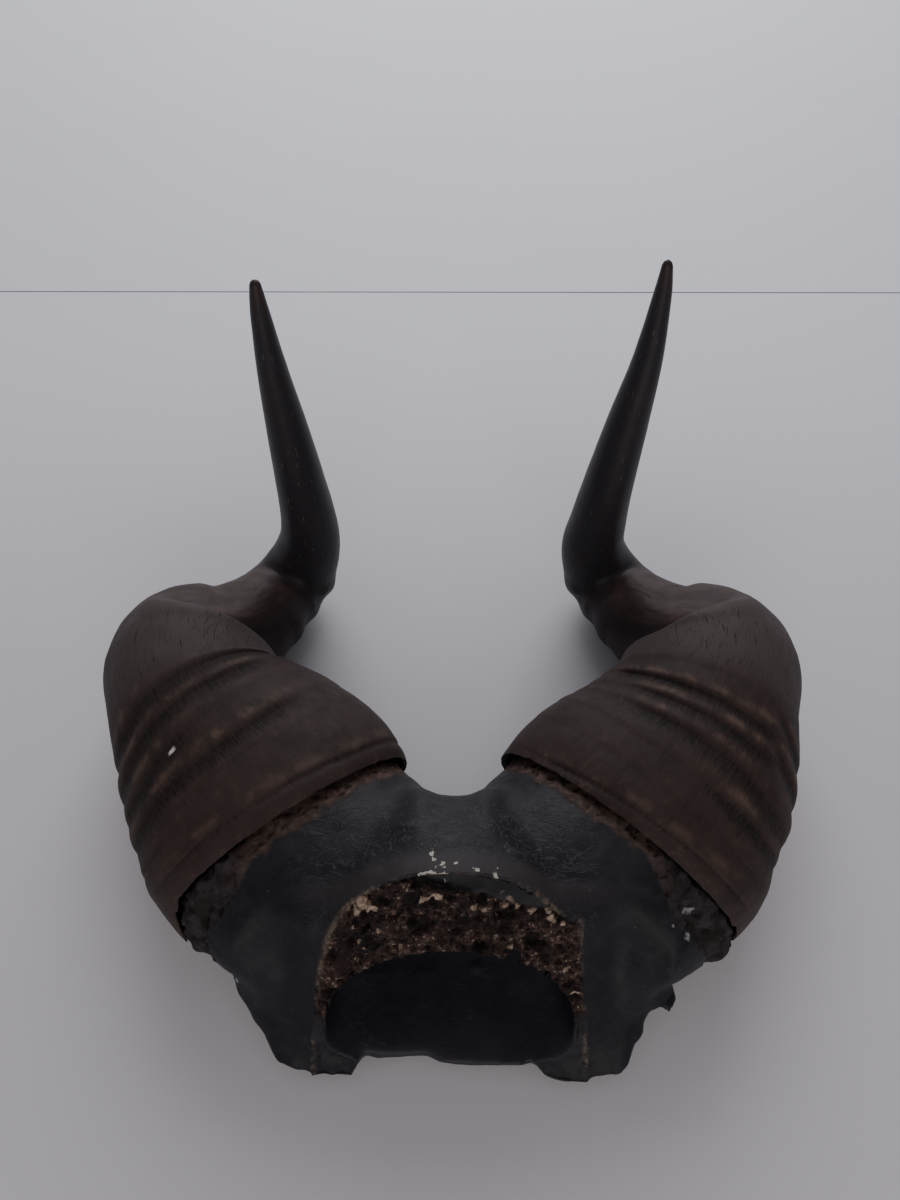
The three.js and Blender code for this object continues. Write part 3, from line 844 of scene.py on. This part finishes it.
    lump = hump(np.linalg.norm(points - (113, 78, 30), axis=1), 0, 13)
    points = points + 7.0 * lump[:, None] * np.array([0.72, -0.69, 0])
    behind = ramp(normals[:, 1], 0.2, 0.7) * ramp(y, 100, 110) * ramp(y, 165, 150)
    corner = hump(np.abs(x - 1.5), 15, 7.0) * behind
    points = points + 3.7 * corner[:, None] * np.array([0, 0.95, 0.31])
    foot = ramp(z, 26, 6) * ramp(y, 60, 40)
    toes = 3.2 * ramp(x, 38, 52) * ramp(x, 84, 72) + 4.5 * hump(x, 78, 8) + 3.0 * hump(x, -75, 8)
    points = points + (foot * toes)[:, None] * np.array([0, -1, 0])
    low_edge = ramp(z, 34, 20) * ramp(fields["gap"], 6, 16) * (1 - hollow) * ramp(np.abs(x), 58, 66) * ramp(y, 33, 46)
    fray = (noise(points, 7.0, 51) + 0.15 * noise(points, 2.8, 52)) * np.where(x > 0, 2.2, 1.2)
    points = points + (normals * [1, 1, 0]) * (low_edge * fray)[:, None]
    past = fields.pop("past")
    blend = ramp(over_cut, -9, -4) * ramp(past, 1.0, 2.5) * ramp(past, 16, 11) * (1 - hollow)
    blend = np.maximum(blend, 0.8 * ramp(z, 7, 4) * ramp(y, 50, 36))
    blend = np.maximum(blend, valley)[:, None]
    for _ in range(22):
        points = points + 0.6 * blend * (average(points) - points)
    points[:, 2] = np.maximum(points[:, 2], 0.05)
    move_vertices(mesh, (points - MIDDLE) / 1000)

    bulge = points - average(average(points))
    convex = (bulge * normals_of(mesh)).sum(1)
    fields["edge"] = ramp(convex, 0.06, 0.34)
    # Painted shade: the dented pores, pits, holes and sinus holes are marked here to be painted near-black.
    fields["pore_shade"] = np.clip(spongy * ramp(pores + caves, 0.3, 1.0) + band * pitted * 0.9 + holes, 0, 1)
    fields["pore_shade"] = np.maximum(fields["pore_shade"], sinuses * ramp(over_cut, 0.5, -0.5))
    fields["spongy"] = np.maximum(spongy, sinuses)
    fields["compact"] = cut * compact
    return fields


# Sinus holes in the cut face: x, place up the slope, radius.
SINUSES = [(-31.5, 0.7, 4.5), (-15.4, 0.9, 3.5), (5.8, 0.81, 2.5), (25.9, 0.63, 3.5)]
# Outer edge of the sawn face on each side: places up the slope, then distances from the middle.
LEFT_OUTLINE = ([0, 0.145, 0.36, 0.564, 0.711, 0.83, 0.9], [58.5, 57.8, 55.1, 52.1, 48, 42.7, 38])
RIGHT_OUTLINE = ([0, 0.2, 0.412, 0.614, 0.806, 0.876, 0.93], [57.9, 56.6, 54.3, 52, 50.6, 45.5, 40])
# Cream patches of bone on the cut face: x, place up the slope, radius.
PALE_PATCHES = [
    (-34.3, 0.885, 3.6),
    (-32.3, 0.868, 2.4),
    (-30.2, 0.853, 2.6),
    (-37.5, 0.858, 2.4),
    (-36.0, 0.839, 2.2),
    (-38.0, 0.77, 1.1),
    (-28.2, 0.754, 1.2),
    (-35.1, 0.702, 1.4),
    (-34.0, 0.675, 1.2),
    (-19.8, 0.673, 1.2),
    (-17.6, 0.958, 1.1),
    (-15.7, 0.945, 1.2),
    (-13.8, 0.931, 1.7),
    (-11.5, 0.905, 1.7),
    (-10.8, 0.890, 1.4),
    (-7.7, 0.904, 1.6),
    (-5.4, 0.913, 2.3),
    (-2.7, 0.908, 1.6),
    (9.3, 0.862, 1.8),
    (13.2, 0.853, 1.3),
    (19.6, 0.922, 1.5),
    (23.1, 0.904, 2.0),
    (21.6, 0.872, 1.7),
    (25.9, 0.867, 1.4),
    (32.1, 0.844, 2.2),
    (37.9, 0.848, 1.7),
    (39.7, 0.806, 2.2),
    (44.1, 0.788, 1.4),
    (18.1, 0.731, 1.1),
    (24.1, 0.673, 1.6),
    (47, 0.56, 2.0),
    (50.5, 0.44, 2.0),
]
# Flakes of white on the crest: x, y, z, radius.
FLAKES = [
    (-13.3, 89.7, 99, 0.9),
    (-11.8, 90.0, 99, 1.1),
    (-10.3, 90.3, 99.5, 1.3),
    (-8.8, 90.8, 99.5, 1.6),
    (-7.2, 91.2, 99.5, 1.6),
    (-5.4, 90.9, 99.8, 1.2),
    (-3.7, 90.6, 99.8, 1.1),
    (-2.3, 91.2, 99.8, 1.2),
    (-1.1, 89.0, 99.8, 2.1),
    (0.9, 88.2, 99.5, 1.5),
    (0.8, 92.3, 100, 1.1),
    (-3.1, 95.2, 99, 1.5),
    (-2.2, 93.7, 99.5, 1.4),
    (-5.4, 93.7, 99.5, 1.2),
    (-5.8, 96.7, 99, 1.0),
    (2.3, 95.2, 99.5, 1.1),
    (-6.8, 100.0, 98.5, 1.7),
    (-6.4, 102.0, 98, 1.2),
    (-11.2, 101.3, 98, 1.4),
    (-10.2, 100.2, 98, 0.9),
    (-4.3, 103.8, 98, 0.9),
    (-1.2, 104.0, 98, 0.9),
    (-17.1, 100.2, 97.5, 0.8),
    (10.7, 92.4, 99.5, 1.4),
    (9.2, 92.8, 99.5, 1.1),
    (17.2, 91.0, 99, 1.5),
    (17.6, 89.3, 99, 1.0),
    (18.4, 93.3, 99, 1.1),
    (19.0, 88.5, 98.5, 1.0),
    (12.5, 70, 15, 1.4),
    (10.8, 68, 14.5, 0.9),
]
# White crust and droppings on the right core and one at the left edge: x, y, z, radius.
CRUST = [
    (96.8, 83.5, 68.7, 2.5),
    (89.9, 77, 70.1, 1.9),
    (96.1, 74, 65, 2.3),
    (-92.1, 63.3, 25.8, 1.6),
]


def bone_look(settings):
    """Black paint over bone, with raw spongy bone on the cut and porous brown bone below the rims; the pores carry
    painted shade and the cavity a lighter copy of the paint as painted light.
    """
    look = Look("painted_bone")
    place = look.coordinates()
    spongy = look.attribute("spongy")
    band = look.attribute("band")
    hollow = look.attribute("hollow")
    edge = look.attribute("edge")
    pore_shade = look.attribute("pore_shade")
    crown = look.attribute("crown")
    compact = look.attribute("compact")
    cloud = look.noise(place, 26.0, 4.0, 0.6)
    tone = look.noise(place, 110.0, 4.0, 0.6)
    grain = look.noise(place, 330.0, 5.0, 0.7)
    speck = look.noise(place, 700.0, 2.0, 0.5)
    foam = look.noise(place, 560.0, 3.0, 0.6)
    crawl = look.noise(look.stretched(place, (0.40, 1, 1)), 170.0, 2.0, 0.5, 0.6)
    other = look.noise(look.stretched(place, (0.55, 1, 0.8), (0.2, 0.1, 0.3)), 230.0, 2.0, 0.5, 0.6)
    lines = 2 - look.absolute(crawl - 0.5).rise(0.0, 0.032) - look.absolute(other - 0.5).rise(0.0, 0.032)
    worms = lines * (look.attribute("worms") * 0.8 + 0.14) * (1 - hollow) * (1 - compact)
    scratch = look.noise(look.stretched(place, (18, 130, 130), (0.3, 0.1, 0)), 1.0, 2.0, 0.5, 0.8)
    scratches = 1 - look.absolute(scratch - 0.5).rise(0.0, 0.012)

    dark = opaque(settings.paint)
    dusty = opaque(settings.dusty)
    raw = opaque(settings.raw)
    paint = look.mix(cloud.rise(0.38, 0.68) * 0.8, dark, dusty)
    paint = look.mix(tone.rise(0.48, 0.70) * 0.35, paint, opaque([1.5 * c for c in settings.dusty]))
    paint = look.mix(crown * 0.75, paint, opaque(settings.crown))
    paint = look.mix(worms * 0.50, paint, opaque([2.4 * c for c in settings.dusty]))
    paint = look.mix(edge * (1 - hollow) * 0.16, paint, opaque([1.8 * c for c in settings.dusty]))
    # Painted light: the cavity gets a copy of the paint two to three times as bright, as if more light reached into
    # it; the scratches on it are real.
    deep = look.mix(cloud.rise(0.35, 0.7), opaque([2.0 * c for c in settings.paint]), opaque([3.1 * c for c in settings.paint]))
    deep = look.mix(scratches * tone.rise(0.48, 0.62) * 0.40, deep, opaque([4 * c for c in settings.dusty]))
    paint = look.mix(hollow, paint, deep)
    dots = speck.rise(0.735, 0.77) * 0.45
    paint = look.mix(dots, paint, opaque([0.5 * c for c in settings.raw]))
    paint = look.mix(compact * 0.8, paint, look.mix(tone.rise(0.4, 0.65), dark, dusty))

    sponge = look.mix(tone.rise(0.40, 0.66), opaque([0.35 * c for c in settings.spongy]), opaque(settings.spongy))
    rust = grain.rise(0.53, 0.66) * tone.rise(0.40, 0.60)
    sponge = look.mix(rust * 0.6, sponge, opaque(settings.rust))
    # Painted shade: near-black in the low pockets between the lumps of spongy bone.
    sponge = look.mix(foam.rise(0.50, 0.40) * 0.75, sponge, (0.005, 0.0035, 0.0035, 1.0))
    # Painted shade in the pores and holes of the cut.
    sponge = look.mix(pore_shade * 0.75, sponge, (0.008, 0.0055, 0.0055, 1.0))
    crumbs = foam.rise(0.60, 0.66) * tone.rise(0.44, 0.60)
    sponge = look.mix(crumbs * 0.8, sponge, opaque([0.8 * c for c in settings.raw]))
    pale = (look.attribute("pale") * (grain * 0.5 + tone * 0.3 + foam * 0.7)).rise(0.28, 0.72)
    bony = look.mix(tone.rise(0.38, 0.60), opaque(settings.raw), opaque([0.42 * c for c in settings.raw]))
    bony = look.mix(foam.rise(0.52, 0.42) * 0.6, bony, opaque(settings.rust))
    sponge = look.mix(pale, sponge, bony)

    tan = look.mix(grain.rise(0.40, 0.64), opaque([0.6 * c for c in settings.band]), opaque([1.15 * c for c in settings.band]))
    crusted = look.mix(tone.rise(0.42, 0.60), opaque([0.8 * c for c in settings.paint]), opaque([1.7 * c for c in settings.dusty]))
    tan = look.mix(look.attribute("outer_end") * (0.5 + grain * 0.6), tan, crusted)
    # Painted shade in the pits of the core band.
    tan = look.mix(pore_shade * (0.60 - look.attribute("outer_end") * 0.1), tan, (0.005, 0.004, 0.004, 1.0))
    colour = look.mix(band, paint, tan)
    colour = look.mix(spongy, colour, sponge)
    colour = look.mix(pale * (1 - spongy) * compact, colour, bony)
    line = look.attribute("outer_line") * (grain * 0.6 + cloud * 0.7).rise(0.58, 0.74)
    colour = look.mix(line * 0.75, colour, opaque([0.55 * c for c in settings.raw]))
    dash = look.noise(look.stretched(place, (380, 900, 900), (0.4, 0.2, 0)), 1.0, 2.0, 0.5)
    chipped = (look.attribute("flakes") * (grain * 0.5 + dash * 0.9)).rise(0.53, 0.65)
    colour = look.mix(chipped * 0.9, colour, (0.46, 0.42, 0.37, 1.0))
    crust = (look.attribute("crust") * (foam * 0.9 + grain * 0.3)).rise(0.44, 0.66)
    colour = look.mix(crust * 0.8, colour, (0.30, 0.305, 0.31, 1.0))

    rough = 0.50 + spongy * 0.38 + band * 0.32 - hollow * 0.06 + (cloud - 0.5) * 0.25 + crown * 0.08
    height = grain * 0.35 + worms * 0.25 + foam * spongy * 2.4 + band * grain * 1.4 + chipped * 0.3
    surface = look.bump(height, 0.7, 0.0008)
    return look.finish(Base_Color=colour, Roughness=rough, Normal=surface, Specular_IOR_Level=0.15)


class HORNS_OT_skull_cap(bpy.types.Operator):
    """Build the skull cap with its cut face, braincase and horn cores"""

    bl_idname = "horns.skull_cap"
    bl_label = "Skull cap"

    def execute(self, context):
        """Makes the bone from an even copy of its solid."""
        settings = context.scene.bone_settings
        mesh = remeshed_copy("skull_cap", "skull_bone", settings.voxel)
        fields = sculpt_bone(mesh, settings)
        points = vertices_of(mesh) * 1000 + MIDDLE
        run = CREST - CUT_FOOT
        patches = [(across, *(CUT_FOOT + up * run)[1:], radius) for across, up, radius in PALE_PATCHES]
        fields["pale"] = spots(points, patches, 0.45)
        flakes = [(*place, 1.15 * radius) for *place, radius in FLAKES]
        fields["flakes"] = spots(points, flakes, 0.5, 0.35)
        for name, values in fields.items():
            store(mesh, name, values)
        mesh.materials.append(bone_look(settings))
        bone = new_object("skull_bone", mesh)
        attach(bone, "root")
        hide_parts("skull_cap")
        return {"FINISHED"}


# ---- Stage ----


def board_look(settings):
    """Matt pale board with faint smudges, darker near the camera and paler behind the tips as painted shade and light.
    """
    look = Look("board")
    place = look.coordinates()
    smudge = look.noise(look.stretched(place, (1, 2.5, 1)), 3.0, 5.0, 0.6).rise(0.45, 0.8)
    fleck = look.noise(place, 90.0, 3.0, 0.5).rise(0.76, 0.80)
    # Painted light and shade: the floor blends from the darker board colour near the camera to the paler far colour
    # behind the tips.
    ahead = look.node("ShaderNodeSeparateXYZ", sockets={"Vector": place}, output=1).rise(-0.05, 0.32)
    colour = look.mix(ahead, opaque(settings.board), opaque(settings.board_far_painted_light))
    colour = look.mix(smudge * 0.10, colour, opaque([0.75 * c for c in settings.board]))
    colour = look.mix(fleck * 0.10, colour, (0.2, 0.18, 0.16, 1.0))
    return look.finish(Base_Color=colour, Roughness=0.55, Specular_IOR_Level=0.3)


def board(name, corners, material):
    """A flat board of the stage."""
    mesh = bpy.data.meshes.new(name)
    sheet = bmesh.new()
    sheet.faces.new([sheet.verts.new(corner) for corner in corners])
    sheet.to_mesh(mesh)
    sheet.free()
    mesh.materials.append(material)
    made = new_object(name, mesh)


def soft_light(name, place, target, size, power, colour):
    """A square area light that looks at a target."""
    light = bpy.data.lights.new(name, "AREA")
    light.shape = "SQUARE"
    light.size = size
    light.energy = power
    light.color = colour
    lamp = bpy.data.objects.new(name, light)
    bpy.context.scene.collection.objects.link(lamp)
    lamp.location = place
    lamp.rotation_euler = (Vector(target) - Vector(place)).to_track_quat("-Z", "Y").to_euler()


class HORNS_OT_stage(bpy.types.Operator):
    """Set up the pale boards, the soft light and the camera"""

    bl_idname = "horns.stage"
    bl_label = "Stage"

    def execute(self, context):
        """Makes the floor, the back board, the lights and the camera."""
        settings = context.scene.stage_settings
        material = board_look(settings)
        seam = 0.350
        board("floor", [(-2, -2, 0), (2, -2, 0), (2, seam - 0.008, 0), (-2, seam, 0)], material)
        board("floor_beyond", [(-2, seam + 0.001, 0.0), (2, seam - 0.007, 0.0), (2, 2.5, 0.0), (-2, 2.5, 0.0)], material)
        board("floor_below", [(-2, 0.3, -0.0006), (2, 0.3, -0.0006), (2, 0.4, -0.0006), (-2, 0.4, -0.0006)], material)
        soft_light("key", (0.06, 1.55, 0.95), (0, 0.15, 0), 1.3, settings.key_power, (0.955, 0.955, 1.0))
        soft_light("fill", (0.10, -1.35, 0.55), (0, 0.0, 0.05), 1.1, settings.fill_power, (1.0, 0.96, 0.93))
        world = bpy.data.worlds.new("sky")
        world.use_nodes = True
        sky = world.node_tree.nodes["Background"]
        sky.inputs["Color"].default_value = (0.96, 0.95, 1.0, 1.0)
        sky.inputs["Strength"].default_value = settings.sky
        context.scene.world = world
        lens = bpy.data.cameras.new("camera")
        lens.sensor_width = 36
        lens.lens = 28.5
        camera = bpy.data.objects.new("camera", lens)
        context.scene.collection.objects.link(camera)
        camera.location = (-MIDDLE[0] / 1000, -MIDDLE[1] / 1000, 0.465)
        camera.rotation_euler = (math.radians(30), 0, 0)
        context.scene.camera = camera
        return {"FINISHED"}


class HORNS_PT_panel(bpy.types.Panel):
    """Lists the settings and the steps"""

    bl_label = "Horns"
    bl_idname = "HORNS_PT_panel"
    bl_space_type = "VIEW_3D"
    bl_region_type = "UI"
    bl_category = "Horns"

    def draw(self, context):
        """Draws one block for each group of settings, and the buttons."""
        for group in (context.scene.horn_settings, context.scene.bone_settings, context.scene.stage_settings):
            box = self.layout.box()
            for name in group.bl_rna.properties.keys():
                if name not in {"rna_type", "name"}:
                    box.prop(group, name)
        for step in (HORNS_OT_sheaths, HORNS_OT_skull_cap, HORNS_OT_stage):
            self.layout.operator(step.bl_idname)


CLASSES = (
    HornSettings,
    BoneSettings,
    StageSettings,
    HORNS_OT_sheaths,
    HORNS_OT_skull_cap,
    HORNS_OT_stage,
    HORNS_PT_panel,
)


def register():
    """Registers the classes and puts the settings on the scene."""
    for entry in CLASSES:
        bpy.utils.register_class(entry)
    bpy.types.Scene.horn_settings = bpy.props.PointerProperty(type=HornSettings)
    bpy.types.Scene.bone_settings = bpy.props.PointerProperty(type=BoneSettings)
    bpy.types.Scene.stage_settings = bpy.props.PointerProperty(type=StageSettings)


def unregister():
    """Takes the settings and the classes away."""
    del bpy.types.Scene.stage_settings
    del bpy.types.Scene.bone_settings
    del bpy.types.Scene.horn_settings
    for entry in reversed(CLASSES):
        bpy.utils.unregister_class(entry)


def main():
    """Builds the horns."""
    register()
    bpy.ops.horns.sheaths()
    bpy.ops.horns.skull_cap()
    bpy.ops.horns.stage()


if __name__ == "__main__":
    main()
